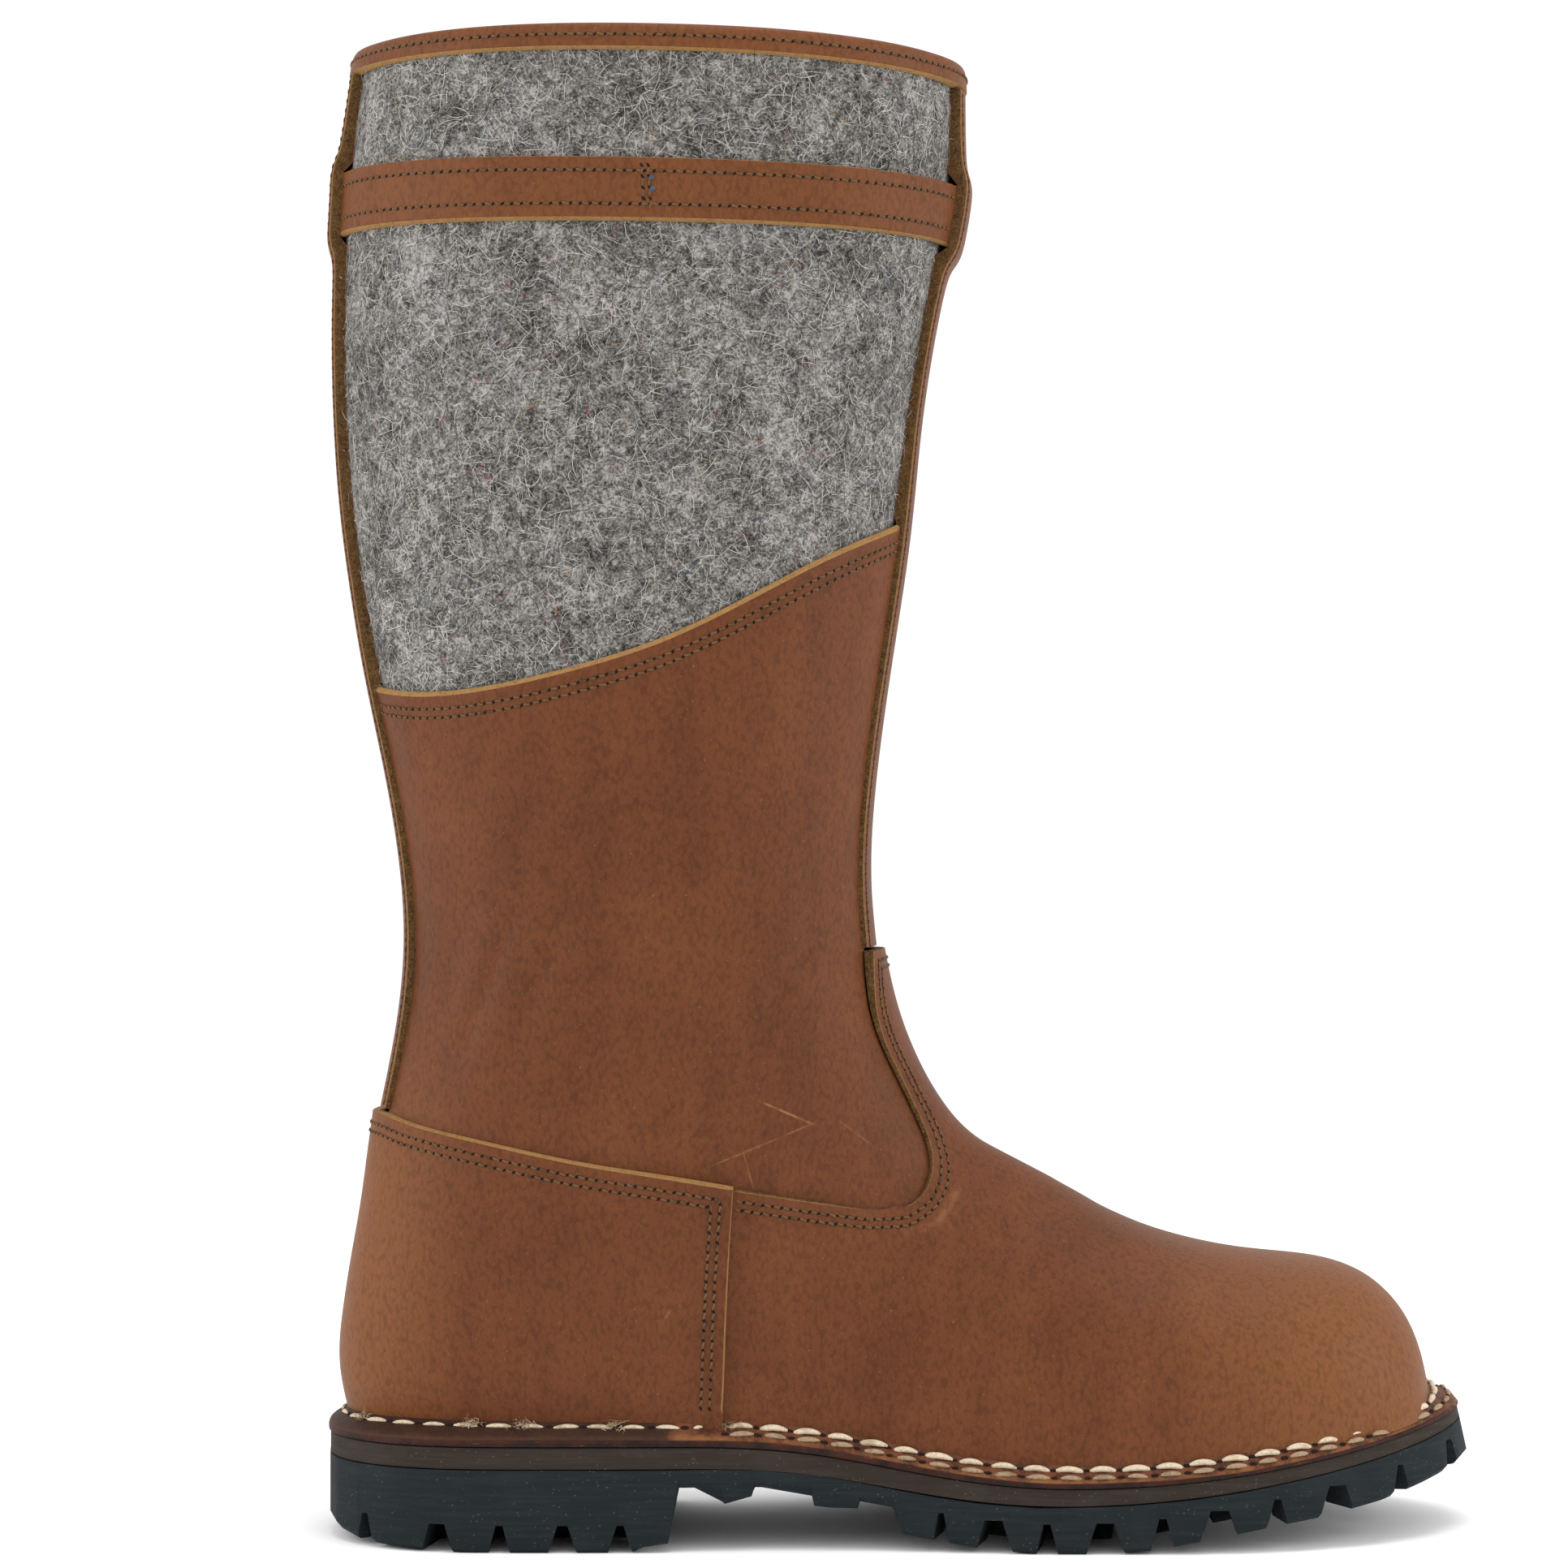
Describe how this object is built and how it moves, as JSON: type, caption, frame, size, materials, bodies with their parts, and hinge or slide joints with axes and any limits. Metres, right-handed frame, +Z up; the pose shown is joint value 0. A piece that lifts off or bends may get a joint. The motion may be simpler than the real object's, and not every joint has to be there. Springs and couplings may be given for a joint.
{
  "type": "hunting boot",
  "caption": "Left pull-on hunting boot: tall felt shaft, leather foot, seam strips and strap, sewn leather welt, lugged rubber sole. Foot and leg go in at the collar.",
  "frame": {"origin": "on the floor, at the bottom centre of the boot's bounding box", "axes": "+X to the toe, +Y to the outer side of the left foot, +Z up to the collar"},
  "size_m": [0.309, 0.121, 0.3961],
  "materials": {
    "black_rubber": "matt",
    "taupe_rubber": "matt",
    "welt_leather": "waxed edge",
    "insole_leather": "plain",
    "grey_felt": "heather wool felt",
    "brown_leather": "oiled, fine grain"
  },
  "bodies": {
    "root": {"outsole": "black_rubber", "midsole": "taupe_rubber", "welt": "welt_leather", "insole": "insole_leather", "upper": "grey_felt", "quarter_inner": "brown_leather", "quarter_outer": "brown_leather", "front_strip": "brown_leather", "back_strip": "brown_leather", "strap": "brown_leather", "vamp": "brown_leather", "counter": "brown_leather", "collar_binding": "brown_leather"}
  },
  "joints": []
}
